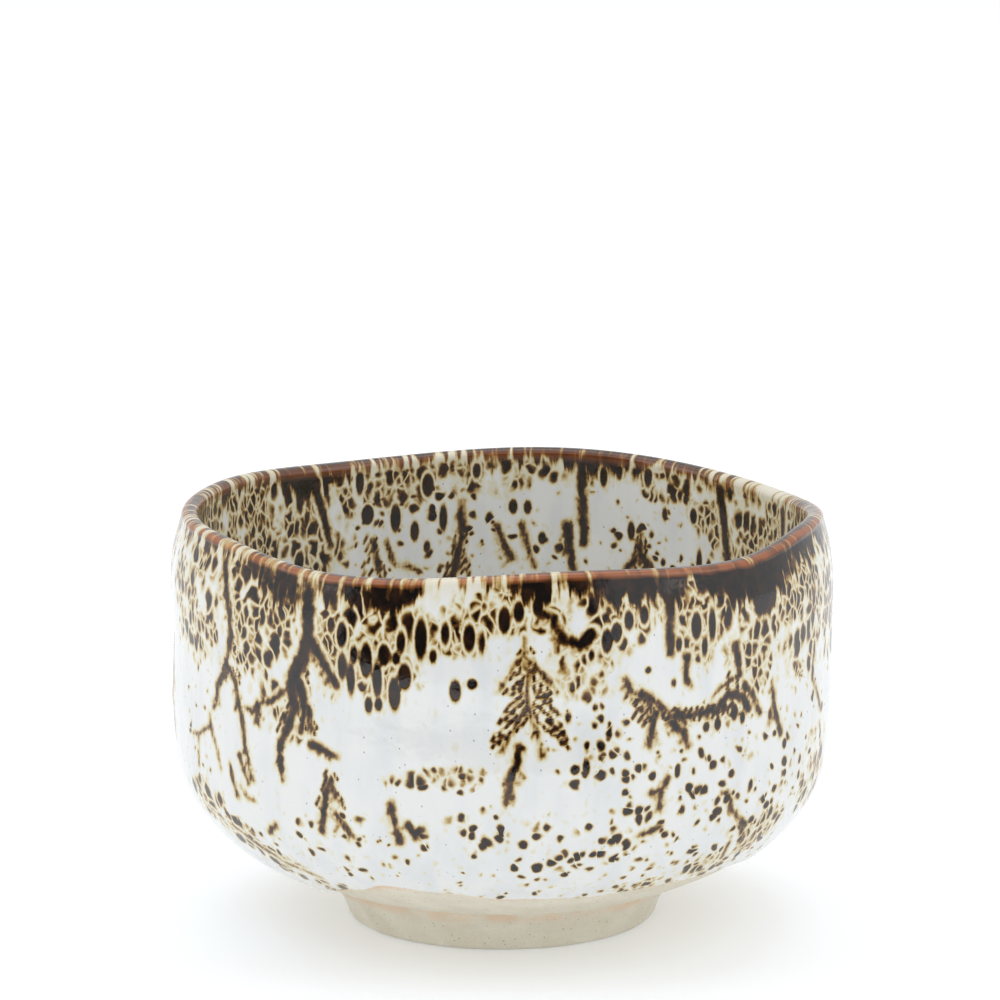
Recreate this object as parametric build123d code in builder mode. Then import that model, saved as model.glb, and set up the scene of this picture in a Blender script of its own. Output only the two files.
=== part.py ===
"""A hand-thrown matcha bowl (chawan): stoneware bowl, foot ring and two coats of glaze.

Millimetres, +Z up. The origin is the centre of the foot's resting face, and -Y is the bowl's front.
"""
import os
from math import cos, pi, radians, sin

from build123d import *

# Driving dimensions
BOWL_DIAMETER = 119.6
LIP_LEVEL = 74.7
FLOOR_LEVEL = 13.0
FOOT_HEIGHT = 8.0
SLIP_THICKNESS = 0.3
IRON_COAT = 0.35
WHITE_COAT = 0.45
GLAZE = IRON_COAT + WHITE_COAT

# Section of the clay: radius and height. The wall runs on above the lip, which is cut to its waves later.
CLAY_RADIUS = BOWL_DIAMETER / 2 - GLAZE
UNDERSIDE_LEVEL = FOOT_HEIGHT + SLIP_THICKNESS
WALL_TOP = LIP_LEVEL + 5
FLAT_RADIUS = 8.0
OUTSIDE = [
    (33.6, UNDERSIDE_LEVEL),
    (39.6, 10.7),
    (45.4, 13.7),
    (50.0, 17.0),
    (54.2, 21.6),
    (57.2, 27.0),
    (CLAY_RADIUS - 0.5, 33.0),
    (CLAY_RADIUS, 41.0),
    (CLAY_RADIUS - 0.2, 51.0),
    (CLAY_RADIUS, 61.0),
    (CLAY_RADIUS - 0.4, 67.5),
    (CLAY_RADIUS - 1.4, 73.0),
    (CLAY_RADIUS - 3.4, WALL_TOP),
]
INSIDE = [
    (CLAY_RADIUS - 5.6, WALL_TOP),
    (CLAY_RADIUS - 3.8, 73.0),
    (CLAY_RADIUS - 3.4, 66.0),
    (CLAY_RADIUS - 3.5, 50.0),
    (CLAY_RADIUS - 4.3, 36.0),
    (51.8, 25.5),
    (45.5, 18.2),
    (35.0, 14.6),
    (21.0, FLOOR_LEVEL + 0.3),
    (FLAT_RADIUS, FLOOR_LEVEL),
]
OUTSIDE_ENDS = [(1.0, 0.3), (-0.35, 1.0)]
INSIDE_ENDS = [(0.35, -1.0), (-1.0, 0.0)]
COAT_STATIONS = 24
EVEN = (1, 1)
RECESS_RADIUS = 21.0
RECESS_RISE = 0.9

# The wavy lip: azimuth in degrees from +X, height above the lip's level
LIP_WAVES = [
    (27, -1.8),
    (78, 0.1),
    (118, -1.2),
    (158, 0.4),
    (207, 0.9),
    (240, -1.2),
    (282, 0.7),
    (316, -0.7),
    (342, 0.9),
]
LIP_ROUNDING = 1.0
LIP_BAND_DEPTH = 2.4
THINNING_DEPTH = 7.0
THINNED_SHARE = 0.5
DEGREES_PER_POINT = 10

# The line under the belly where both coats stop: azimuth in degrees, distance from the axis
GLAZE_LINE = [
    (0, 48.5),
    (30, 47.5),
    (65, 49.5),
    (100, 48.0),
    (135, 46.0),
    (170, 43.5),
    (200, 40.5),
    (222, 43.0),
    (238, 49.0),
    (247, 51.8),
    (258, 51.2),
    (272, 49.6),
    (288, 49.3),
    (303, 50.2),
    (322, 50.6),
    (340, 49.0),
]
IRON_SHOWS = 0.5
GLAZE_LINE_REACH = 30

# The unglazed foot
FOOT_OUTER_RADIUS = 28.1
FOOT_INNER_RADIUS = 22.0
FOOT_NECK_RADIUS = 29.3
FOOT_NECK_LEVEL = 5.4
FOOT_TOP_RADIUS = 32.4
FOOT_TOP_INNER_RADIUS = 21.2
FOOT_BEVEL = 0.9
SLIP_INNER_RADIUS = 22.5
SLIP_OUTER_RADIUS = 31.6


def lip_wave(azimuth):
    """Height of the lip above its level, as half-cosine waves between the named stations."""
    first_azimuth, first_height = LIP_WAVES[0]
    stations = LIP_WAVES + [(first_azimuth + 360, first_height)]
    turned = first_azimuth + (azimuth - first_azimuth) % 360
    for (low, low_height), (high, high_height) in zip(stations, stations[1:]):
        if low <= turned <= high:
            blend = (1 - cos(pi * (turned - low) / (high - low))) / 2
            return low_height + (high_height - low_height) * blend


def above_lip(drop):
    """Everything above the lip's wavy surface, lowered by the given drop."""
    rims = []
    for radius in (CLAY_RADIUS - 12, CLAY_RADIUS + 8):
        turns = [radians(azimuth) for azimuth in range(0, 360, DEGREES_PER_POINT)]
        heights = [LIP_LEVEL - drop + lip_wave(azimuth) for azimuth in range(0, 360, DEGREES_PER_POINT)]
        points = [(radius * cos(turn), radius * sin(turn), height) for turn, height in zip(turns, heights)]
        with BuildLine() as rim:
            Spline(*points, periodic=True)
        rims.append(rim.edge())
    wavy_face = Face.make_surface_from_curves(*rims)
    with BuildPart() as space:
        extrude(to_extrude=wavy_face, amount=2 * (WALL_TOP - LIP_LEVEL) + drop, dir=(0, 0, 1))
    return space.part


def coat_depth(coat, height):
    """Depth of a coat at a height: it thins towards the lip, where the glaze has run down."""
    rise = min(max((height - LIP_LEVEL + THINNING_DEPTH) / THINNING_DEPTH, 0), 1)
    return coat * (1 - (1 - THINNED_SHARE) * rise * rise * (3 - 2 * rise))


def coated_curve(points, ends, coat):
    """A curve of the clay's section, carried outwards by a coat."""
    clay_curve = Spline(*points, tangents=ends, tangent_scalars=EVEN, mode=Mode.PRIVATE)
    carried = []
    for step in range(COAT_STATIONS + 1):
        place = clay_curve @ (step / COAT_STATIONS)
        along = clay_curve % (step / COAT_STATIONS)
        depth = coat_depth(coat, place.Y)
        carried.append((place.X + along.Y * depth, place.Y - along.X * depth))
    return Spline(*carried, tangents=ends, tangent_scalars=EVEN)


def coated_bowl(coat):
    """The bowl with a coat of the given depth all over it, cut to the wavy lip and rounded there."""
    with BuildPart() as bowl:
        with BuildSketch(Plane.XZ):
            with BuildLine():
                outside = coated_curve(OUTSIDE, OUTSIDE_ENDS, coat)
                inside = coated_curve(INSIDE, INSIDE_ENDS, coat)
                Line(outside @ 1, inside @ 0)
                seat = (RECESS_RADIUS, (outside @ 0).Y)
                recess_flat = (FLAT_RADIUS, seat[1] + RECESS_RISE)
                Line(outside @ 0, seat)
                Spline(seat, recess_flat, tangents=[(-1, 0.1), (-1, 0)], tangent_scalars=EVEN)
                Polyline(recess_flat, (0, recess_flat[1]), (0, (inside @ 1).Y), inside @ 1)
            make_face()
        revolve(axis=Axis.Z)
        add(above_lip(coat_depth(GLAZE - coat, LIP_LEVEL)), mode=Mode.SUBTRACT)
        lip_edges = edges().filter_by(lambda edge: edge.bounding_box().min.Z > LIP_LEVEL - 4)
        fillet(lip_edges.filter_by(lambda edge: edge.length > CLAY_RADIUS), radius=LIP_ROUNDING + coat / 2)
    return bowl.part


def inside_glaze_line(shrink):
    """The bare clay's patch under the belly, as a wavy column; a positive shrink makes it smaller."""
    with BuildPart() as column:
        with BuildSketch(Plane.XY):
            with BuildLine():
                points = []
                for azimuth, distance in GLAZE_LINE:
                    reach = distance - shrink
                    points.append((reach * cos(radians(azimuth)), reach * sin(radians(azimuth))))
                Spline(*points, periodic=True)
            make_face()
        extrude(amount=GLAZE_LINE_REACH)
    return column.part


def glaze_coat(covered, beneath, bare_patch, band):
    """One coat on its own, parted at the lip band: the outer side, stopped at the glaze line, and the inner."""
    with BuildPart() as coat:
        add(covered)
        add(beneath, mode=Mode.SUBTRACT)
        add(band, mode=Mode.SUBTRACT)
    inner_solid, outer_solid = coat.solids().sort_by(lambda solid: solid.bounding_box().size.X)
    with BuildPart() as outer:
        add(outer_solid)
        add(bare_patch, mode=Mode.SUBTRACT)
    with BuildPart() as inner:
        add(inner_solid)
    return outer, inner


def turned_foot():
    """The foot ring: bevelled at the table, leaning in as it goes down, with a hollow neck at the top."""
    with BuildPart() as foot:
        with BuildSketch(Plane.XZ):
            with BuildLine():
                table = (FOOT_OUTER_RADIUS - FOOT_BEVEL, 0)
                bevel_top = (FOOT_OUTER_RADIUS, FOOT_BEVEL)
                neck = (FOOT_NECK_RADIUS, FOOT_NECK_LEVEL)
                top = (FOOT_TOP_RADIUS, FOOT_HEIGHT)
                Line((FOOT_INNER_RADIUS, 0), table)
                Line(table, bevel_top)
                Line(bevel_top, neck)
                Spline(neck, top, tangents=[(0.25, 1), (1, 0.25)], tangent_scalars=EVEN)
                Line(top, (FOOT_TOP_INNER_RADIUS, FOOT_HEIGHT))
                Line((FOOT_TOP_INNER_RADIUS, FOOT_HEIGHT), (FOOT_INNER_RADIUS, 0))
            make_face()
        revolve(axis=Axis.Z)
    return foot


os.makedirs("parts", exist_ok=True)

clay = coated_bowl(0)
clay_and_iron = coated_bowl(IRON_COAT)
clay_and_glazes = coated_bowl(GLAZE)
lip_band = above_lip(LIP_BAND_DEPTH)

with BuildPart() as stoneware_bowl:
    add(clay)

outer_iron_glaze, inner_iron_glaze = glaze_coat(
    clay_and_iron, clay, inside_glaze_line(IRON_SHOWS), lip_band)
outer_white_glaze, inner_white_glaze = glaze_coat(
    clay_and_glazes, clay_and_iron, inside_glaze_line(0), lip_band)

with BuildPart() as lip_glaze:
    add(clay_and_glazes)
    add(clay, mode=Mode.SUBTRACT)
    add(lip_band, mode=Mode.INTERSECT)

foot_ring = turned_foot()

with BuildPart() as luting_slip:
    with BuildSketch(Plane.XY.offset(FOOT_HEIGHT)):
        Circle(SLIP_OUTER_RADIUS)
        Circle(SLIP_INNER_RADIUS, mode=Mode.SUBTRACT)
    extrude(amount=SLIP_THICKNESS)

PIECES = {
    "stoneware_bowl": stoneware_bowl,
    "foot_ring": foot_ring,
    "luting_slip": luting_slip,
    "outer_iron_glaze": outer_iron_glaze,
    "outer_white_glaze": outer_white_glaze,
    "inner_iron_glaze": inner_iron_glaze,
    "inner_white_glaze": inner_white_glaze,
    "lip_glaze": lip_glaze,
}
for name, piece in PIECES.items():
    piece.part.label = name
    export_step(piece.part, f"parts/{name}.step")
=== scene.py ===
from math import cos, pi, radians, sin

import bpy
import numpy as np
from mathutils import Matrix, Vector


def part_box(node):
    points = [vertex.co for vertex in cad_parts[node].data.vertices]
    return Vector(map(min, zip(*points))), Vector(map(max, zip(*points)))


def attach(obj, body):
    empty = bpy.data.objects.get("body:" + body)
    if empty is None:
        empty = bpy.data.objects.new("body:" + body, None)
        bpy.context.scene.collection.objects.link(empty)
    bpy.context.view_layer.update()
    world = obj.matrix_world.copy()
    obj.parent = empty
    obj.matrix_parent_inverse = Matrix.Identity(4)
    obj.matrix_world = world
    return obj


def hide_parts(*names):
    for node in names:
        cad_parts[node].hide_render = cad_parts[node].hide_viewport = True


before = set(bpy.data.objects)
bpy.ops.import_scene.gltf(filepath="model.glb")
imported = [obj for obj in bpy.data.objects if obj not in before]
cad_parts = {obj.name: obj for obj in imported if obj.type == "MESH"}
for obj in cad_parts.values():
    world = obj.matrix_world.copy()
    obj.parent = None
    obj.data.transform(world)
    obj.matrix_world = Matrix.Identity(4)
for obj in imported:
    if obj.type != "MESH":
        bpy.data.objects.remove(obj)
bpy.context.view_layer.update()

MM = 0.001
RANDOM = np.random.default_rng(7)

# ---------- sizes, as in the frame
GLAZED_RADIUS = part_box("outer_white_glaze")[1].x / MM
# Both coats together, and how far off the clay the shells' own backs lie
GLAZE = 0.8
GLAZE_BACK = 0.42
LIP_GLAZE_BACK = 0.05
CLAY_RADIUS = GLAZED_RADIUS - GLAZE
FOOT_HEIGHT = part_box("foot_ring")[1].z / MM
SEAT_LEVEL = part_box("stoneware_bowl")[0].z / MM
LIP_LEVEL = 74.7
FLOOR_LEVEL = 13.0
# Both sides of the clay's section, as (distance from the axis, height), carried on above the lip
OUTSIDE = [
    (33.6, SEAT_LEVEL), (39.6, 10.7), (45.4, 13.7), (50.0, 17.0), (54.2, 21.6), (57.2, 27.0),
    (CLAY_RADIUS - 0.5, 33.0), (CLAY_RADIUS, 41.0), (CLAY_RADIUS - 0.2, 51.0), (CLAY_RADIUS, 61.0),
    (CLAY_RADIUS - 0.4, 67.5), (CLAY_RADIUS - 1.4, 73.0), (CLAY_RADIUS - 3.4, LIP_LEVEL + 5),
]
INSIDE = [
    (CLAY_RADIUS - 5.6, LIP_LEVEL + 5), (CLAY_RADIUS - 3.8, 73.0), (CLAY_RADIUS - 3.4, 66.0),
    (CLAY_RADIUS - 3.5, 50.0), (CLAY_RADIUS - 4.3, 36.0), (51.8, 25.5), (45.5, 18.2), (35.0, 14.6),
    (21.0, FLOOR_LEVEL + 0.3), (8.0, FLOOR_LEVEL),
]
# Directions of the section at its start and its end
OUTSIDE_ENDS = [(1.0, 0.3), (-0.35, 1.0)]
INSIDE_ENDS = [(0.35, -1.0), (-1.0, 0.0)]
# The coats thin to a share of their depth over this much of the wall below the lip
THINNING_DEPTH = 7.0
THINNED_SHARE = 0.5
LIP_ROUNDING = 1.45
LIP_BAND_DEPTH = 2.4
# How far up its outside the clay is finely meshed, where it lies bare
SKIRT_LENGTH = 28.0

# Azimuth, with the lip's height above its level, and with the glaze line's distance from the axis
LIP_WAVES = [(27, -1.8), (78, 0.1), (118, -1.2), (158, 0.4), (207, 0.9), (240, -1.2), (282, 0.7),
             (316, -0.7), (342, 0.9)]
GLAZE_LINE = [(0, 48.5), (30, 47.5), (65, 49.5), (100, 48.0), (135, 46.0), (170, 43.5), (200, 40.5),
              (222, 43.0), (238, 49.0), (247, 51.8), (258, 51.2), (272, 49.6), (288, 49.3), (303, 50.2),
              (322, 50.6), (340, 49.0)]

# How finely the meshes are cut
AROUND = 640
CLAY_AROUND = 480
OUTSIDE_ROWS = 150
INSIDE_ROWS = 125
BACK_ROWS = 40
LIP_ROWS = 22
CLAY_LIP_ROWS = 9
BAND_ROWS = 5
SECTION_POINTS = 900
# The columns of points start off the axes by this share of a column
COLUMN_OFFSET = 0.37


# ---------- curves
def spline_through(stations, values, queries, slopes):
    """A smooth cubic through values at stations, clamped to the slopes at its ends."""
    x, y = np.array(stations, float), np.array(values, float)
    h = np.diff(x)
    size = len(x)
    matrix, right = np.zeros((size, size)), np.zeros(size)
    for i in range(1, size - 1):
        matrix[i, i - 1:i + 2] = h[i - 1], 2 * (h[i - 1] + h[i]), h[i]
        right[i] = 6 * ((y[i + 1] - y[i]) / h[i] - (y[i] - y[i - 1]) / h[i - 1])
    matrix[0, :2] = 2 * h[0], h[0]
    matrix[-1, -2:] = h[-1], 2 * h[-1]
    right[0] = 6 * ((y[1] - y[0]) / h[0] - slopes[0])
    right[-1] = 6 * (slopes[1] - (y[-1] - y[-2]) / h[-1])
    bend = np.linalg.solve(matrix, right)
    i = np.clip(np.searchsorted(x, queries) - 1, 0, size - 2)
    a, b = (x[i + 1] - queries) / h[i], (queries - x[i]) / h[i]
    curved = ((a ** 3 - a) * bend[i] + (b ** 3 - b) * bend[i + 1]) * h[i] ** 2 / 6
    return a * y[i] + b * y[i + 1] + curved


def lengths_along(points):
    """How far along a line each of its points lies."""
    return np.r_[0, np.cumsum(np.hypot(*np.diff(points, axis=0).T))]


def section_curve(points, ends, coat):
    """Radii and heights along a curve of the section, carried out by a coat that thins near the lip."""
    points = np.array(points)
    along = lengths_along(points)
    queries = np.linspace(0, along[-1], SECTION_POINTS)
    starts, stops = [np.array(end) / np.hypot(*end) for end in ends]
    radius, height = [spline_through(along, points[:, k], queries, (starts[k], stops[k])) for k in (0, 1)]
    run, rise = np.gradient(radius), np.gradient(height)
    length = np.hypot(run, rise)
    share = smooth_step((height - LIP_LEVEL + THINNING_DEPTH) / THINNING_DEPTH)
    depth = coat * (1 - (1 - THINNED_SHARE) * share)
    return radius + rise / length * depth, height - run / length * depth


def smooth_step(value):
    """Nought below 0, one above 1, and a smooth rise between them."""
    held = np.clip(value, 0, 1)
    return held * held * (3 - 2 * held)


def round_the_bowl(stations, azimuths):
    """A value round the bowl between stations of (azimuth, value), with half-cosine steps."""
    first, last = stations[0], stations[-1]
    closed = [(last[0] - 360, last[1])] + stations + [(first[0] + 360, first[1])]
    places, values = np.array(closed, float).T
    turned = azimuths % 360
    i = np.clip(np.searchsorted(places, turned) - 1, 0, len(places) - 2)
    share = (turned - places[i]) / (places[i + 1] - places[i])
    share = (1 - np.cos(pi * share)) / 2
    return values[i] * (1 - share) + values[i + 1] * share


def ripple(azimuths, heights):
    """The slow unevenness that the potter's fingers leave in a wall, in millimetres."""
    turn = np.radians(azimuths)
    return (0.10 * np.sin(3 * turn + heights / 7.0) + 0.07 * np.sin(7 * turn - heights / 4.5 + 1)
            + 0.06 * np.sin(heights / 2.6 + 2 * turn + 2))


def rows_round(radius, height, turn):
    """Points of rows that run round the axis, from radii and heights by (row, column)."""
    radius, height, turn = np.broadcast_arrays(radius, height, turn)
    return np.stack([radius * np.cos(turn), radius * np.sin(turn), height], -1)


def pole(ring):
    """A row of one place, at the middle of a ring and at its level."""
    row = np.zeros((1, len(ring), 3))
    row[..., 2] = ring[0, 2]
    return row


def spread(start, stop, count):
    """Rows of distances from one value round the bowl to another."""
    share = np.linspace(0, 1, count)[:, None]
    return start[None, :] * (1 - share) + stop[None, :] * share


# ---------- the glaze's pattern
# Dark veins where the iron shows: (azimuth, height) along each, then half its width at both ends
OUTSIDE_VEINS = [
    ([(214, 72), (217, 65), (218, 60), (216, 54.5), (213, 50), (212, 46)], 0.9, 0.4),
    ([(216, 54.5), (218, 52), (220, 46), (221.5, 39), (222.5, 35)], 0.8, 0.35),
    ([(219.5, 38.5), (221.5, 34)], 0.6, 0.3),
    ([(235.5, 70), (236, 64), (235, 59)], 1.3, 1.2),
    ([(235, 59), (232, 53.5), (233, 49.5), (231, 45), (229.5, 41), (230, 36)], 1.5, 0.35),
    ([(236.5, 62), (239, 58.5), (241.5, 54.5)], 1.2, 0.7),
    ([(234, 54), (235, 50), (234.5, 45.5)], 1.3, 0.6),
    ([(236, 49.5), (236.4, 46)], 0.8, 0.5),
    ([(231, 52.5), (228, 50), (225, 49), (223, 47), (221.5, 47.5)], 0.6, 0.4),
    ([(225.5, 53), (225.7, 49.5)], 0.3, 0.6),
    ([(224.5, 48.5), (224, 45.5)], 0.8, 0.3),
    ([(210, 44), (211, 41), (212.5, 38), (213.5, 35)], 0.35, 0.3),
    ([(210.3, 42), (205.5, 39.3), (205, 33.5)], 0.3, 0.25),
    ([(205.5, 39.3), (203, 39)], 0.25, 0.2),
    ([(216.5, 36.5), (218, 31)], 0.3, 0.6),
    ([(219, 33), (221, 31), (223, 30.8)], 0.3, 0.2),
    ([(240, 37.5), (239, 35), (237.5, 28)], 0.8, 0.6),
    ([(240, 37), (241, 34.5)], 0.7, 0.35),
    ([(240.5, 31.5), (242, 29.5), (244, 27.5)], 0.7, 0.5),
    ([(251.2, 34.5), (251.7, 31), (252.4, 27.5)], 0.6, 0.75),
    ([(254, 30.7), (255.3, 29.2), (256.3, 30.2)], 0.6, 0.7),
    ([(236.8, 43.4), (238.5, 43), (241.3, 42)], 0.9, 0.5),
    ([(205, 26), (213, 24), (219, 21.5)], 0.1, 0.5),
    ([(219, 21.5), (224, 18.8), (232, 17)], 0.5, 0.1),
    ([(227, 27), (224.6, 25)], 0.5, 0.4),
    ([(273.8, 65), (273.9, 59.5)], 0.3, 0.5),
    ([(273.6, 62), (271.4, 58.8), (269.5, 55.5)], 0.3, 0.25),
    ([(274.3, 61), (276.8, 58.3), (279.3, 55)], 0.4, 0.3),
    ([(274.6, 59), (274, 54.5), (274.3, 52), (275.7, 48), (276.6, 44)], 0.45, 0.4),
    ([(273.8, 52.5), (271.8, 48.5), (269.8, 44.5)], 0.35, 0.25),
    ([(272.8, 45.3), (272.4, 42.3), (271.3, 40), (270.9, 35.5)], 0.9, 0.55),
    ([(276.2, 69), (278.5, 68), (279, 66), (280.8, 64), (283, 63.2), (285, 65)], 0.7, 1.1),
    ([(279, 66), (279, 62.3)], 0.5, 0.4),
    ([(290.8, 56.5), (292.4, 54), (294.8, 52.8), (296, 49.5), (295.6, 47), (295.3, 44.5)], 0.5, 0.7),
    ([(293.6, 54), (296.4, 52), (299.3, 49.3), (302, 48.6), (305.5, 48.8), (308.6, 49.2), (311, 51),
      (313, 51.2), (315, 50), (316.3, 47.8)], 0.6, 0.9),
    ([(315.2, 52.3), (317.4, 50), (319.2, 46.5)], 0.7, 0.4),
    ([(299.5, 47.8), (301.9, 45.8), (302.6, 43.3)], 0.9, 0.5),
    ([(312.8, 60), (313.6, 57), (314.1, 54.5)], 0.9, 0.7),
    ([(312.6, 54), (309.6, 52.8), (308, 51.5)], 0.4, 0.3),
    ([(322.7, 51.5), (323.4, 47), (325.2, 41.5)], 0.4, 0.7),
    ([(322.1, 46), (321.8, 43.8)], 0.5, 0.3),
    ([(338.4, 55), (337.5, 49), (342, 42.5)], 0.5, 0.4),
    ([(310.4, 33.8), (312, 33), (312.8, 30), (315.4, 27.8), (318.2, 26)], 0.5, 0.4),
    ([(315.7, 27), (319.3, 22.5)], 0.5, 0.4),
    ([(315.1, 23), (315.7, 20)], 0.4, 0.4),
    ([(298.6, 38.3), (297.7, 36.3), (295.6, 35.8)], 0.5, 0.5),
    ([(297.4, 35.2), (297.3, 33.1)], 0.75, 0.75),
    ([(293.6, 28), (295.7, 28.6), (297.8, 29.3)], 0.3, 0.6),
    ([(299.8, 74), (299.1, 67), (299.2, 60.5)], 1.1, 0.8),
    ([(302.3, 59.3), (302.3, 55)], 0.8, 0.4),
]
INSIDE_VEINS = [
    ([(74, 75), (74, 66), (73.4, 57.2)], 1.1, 0.9),
    ([(43, 74), (41, 66), (39.3, 55)], 1.3, 1),
    ([(61.4, 59.5), (61.7, 55.6), (64.8, 52)], 0.6, 0.7),
    ([(61.7, 55.8), (58.8, 53), (57.5, 49)], 0.8, 0.6),
    ([(97.8, 64.5), (97.9, 58), (99.8, 50)], 0.7, 0.9),
    ([(116, 58), (115.4, 53)], 0.6, 0.8),
    ([(130, 72), (129, 68), (127.6, 64), (126, 58)], 1.4, 0.6),
    ([(134, 73), (133.5, 66)], 1.8, 0.8),
    ([(86, 60), (85.2, 57), (83.7, 52)], 0.7, 0.5),
    ([(91, 59.5), (90, 57), (88, 53.5)], 0.7, 0.7),
    ([(77, 60), (76.5, 56), (75.2, 50)], 1.1, 0.7),
    ([(113.6, 57.5), (111.6, 53)], 0.5, 0.5),
    ([(109.6, 52.8), (106.4, 51.2)], 0.5, 0.3),
]
# Single large dark cells under the lip: azimuth, height, half width, half height
LARGE_CELLS = [
    (242.6, 58.3, 0.8, 2.4), (244.2, 56.2, 0.75, 2.8), (247, 59.8, 1.1, 3), (249, 56.6, 0.85, 3.2),
    (252, 54.3, 1.05, 2.9), (253.8, 57.5, 1.15, 2.3), (247.4, 51.9, 0.7, 1.4), (249.2, 52.2, 0.65, 1.2),
    (244.8, 60.6, 0.7, 1.6), (242.5, 63.8, 0.95, 2.2), (250.2, 61, 1.05, 1.9), (252.3, 60.6, 0.7, 1.1),
    (253.1, 63.4, 0.75, 1.9), (256.5, 64.2, 1.05, 3.6), (258.6, 61.3, 0.6, 1.2), (260.6, 65.3, 0.7, 1.9),
    (264.6, 64.7, 1, 2.4), (266.7, 63.9, 0.5, 1.9), (262.3, 55.4, 0.95, 1.9), (265.1, 56.7, 0.85, 0.95),
    (289.3, 65, 0.9, 1.7), (287.6, 63.6, 0.95, 2.1), (291.5, 66.9, 0.8, 1.7), (294.3, 67.6, 0.8, 1.6),
    (304.3, 64.5, 1.05, 2.4), (307.6, 64.3, 0.75, 2.9), (306, 60.6, 0.6, 1.8), (300.8, 61.7, 0.6, 1.3),
    (284.9, 61.3, 0.5, 1), (295, 57.8, 0.55, 0.6), (299.8, 55, 0.45, 0.7), (281, 50.5, 0.5, 0.9),
    (285.6, 52, 0.45, 0.6), (288, 47, 0.5, 0.7), (270.4, 67.8, 1, 2.3), (272.8, 69.2, 0.9, 1.8),
    (276, 70, 0.9, 1.7), (284, 41.7, 0.6, 1.5), (282.1, 41.3, 0.8, 0.85), (301.9, 32, 0.5, 0.8),
    (306.5, 46.2, 0.7, 0.9), (309, 46.3, 0.75, 1.1), (312.8, 47.8, 0.8, 1.5), (314.8, 46.5, 0.6, 1.1),
]
INSIDE_CELLS = [
    (104.8, 68, 1.2, 2.2), (111.5, 62, 1.1, 2.7), (117.5, 63.2, 1.4, 1.9), (107.5, 59.2, 0.9, 1.9),
    (101.7, 61.5, 0.8, 2.6), (119.2, 69.8, 0.9, 2.6), (95, 70.5, 0.8, 1.5), (105, 56, 0.7, 1.2),
    (87.8, 63.5, 0.9, 1.4), (84.9, 63.4, 0.8, 1.3), (66.2, 71.3, 0.7, 1.7), (69.5, 70, 0.8, 2),
    (59.9, 71, 0.9, 2.2), (56, 64, 0.6, 1.3), (49, 64.5, 0.9, 1.5), (63.6, 60, 0.8, 1.8),
    (47.5, 56, 0.7, 2.3), (45, 55, 0.7, 1.8), (82, 57.5, 0.8, 1.2),
]
# Where the dark cells gather: azimuth, depth below the lip, half width in degrees, half height, strength
CELL_PATCHES = [
    (205, 12, 14, 12, 0.78), (224, 13, 10, 9, 0.88), (247, 12, 11, 10, 1.15), (262, 8, 9, 6, 0.9),
    (276, 6, 9, 5, 1), (291, 9, 9, 6, 0.95), (306, 9, 9, 8, 1), (317, 14, 7, 12, 0.85),
    (333, 12, 11, 14, 0.9), (352, 14, 12, 14, 0.9), (283, 19, 6, 4, 0.62), (206, 48, 8, 5, 0.85),
    (214, 52, 7, 4, 0.9), (223, 56, 7, 3.5, 0.85), (233, 59, 6, 2.5, 0.7), (322, 50, 9, 5, 0.8),
    (312, 55, 8, 3, 0.75), (300, 58, 9, 2, 0.7), (340, 44, 8, 9, 0.7), (259, 34.5, 10, 2.4, 0.7),
    (308, 26, 8, 3, 0.8), (232, 24, 6, 8, 0.72),
]
# Where single spots lie: azimuth, height, half width in degrees, half height, strength
SPOT_PATCHES = [
    (262, 39, 13, 3, 0.85), (283, 45, 12, 9, 1), (268, 30, 12, 6, 1), (283, 26, 18, 8, 1.05),
    (300, 36, 16, 11, 1.05), (317, 34, 16, 13, 1), (300, 22, 20, 5, 0.95), (268, 21, 14, 3, 0.8),
    (335, 40, 14, 16, 0.85), (256, 26, 9, 6, 0.85), (243, 26, 15, 9, 0.78), (222, 24, 16, 4, 0.6),
    (280, 17.5, 26, 2.5, 0.8), (318, 20, 18, 5, 0.8), (205, 42, 10, 14, 0.5), (20, 38, 30, 22, 0.9),
    (80, 34, 30, 20, 0.95), (130, 36, 30, 22, 0.9), (170, 34, 22, 18, 0.7),
]
# How far the solid dark band reaches below the lip, by azimuth
DARK_BAND = [
    (0, 4), (20, 2.5), (45, 4), (70, 6), (95, 3), (120, 5), (145, 3), (175, 2), (195, 1), (210, 1.5),
    (222, 3), (232, 6.5), (239, 4), (246, 4), (251, 5.5), (256, 2.5), (261, -1.5), (266, -1), (270, 2),
    (276, 4), (281, 2.5), (286, 4), (293, 5.5), (299, 6), (303, 2.5), (308, 4.5), (315, 7), (322, 8.5),
    (330, 5), (345, 4),
]
INSIDE_BAND = [
    (0, 2), (20, 0), (34, 0), (43, 3.5), (50, 1), (60, 1.5), (74, 4), (85, 1.5), (100, 1.2), (112, 0.5),
    (122, 1.5), (132, 5), (142, 1.5), (155, 2), (180, 2), (215, 2), (250, 2.5), (290, 2), (330, 2.5),
]
# How much iron shows on the lip's crest, by azimuth: cream below zero, dark above
CREST_IRON = [
    (0, 0.3), (15, 0), (24, -0.6), (40, -0.6), (50, 0.2), (75, 0.35), (110, 0.3), (135, 0.25),
    (150, -0.15), (170, 0.05), (190, 0), (225, 0.05), (240, 0.2), (250, 0.25), (258, -0.25), (268, -0.2),
    (276, 0.25), (300, 0.45), (330, 0.5),
]
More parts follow.
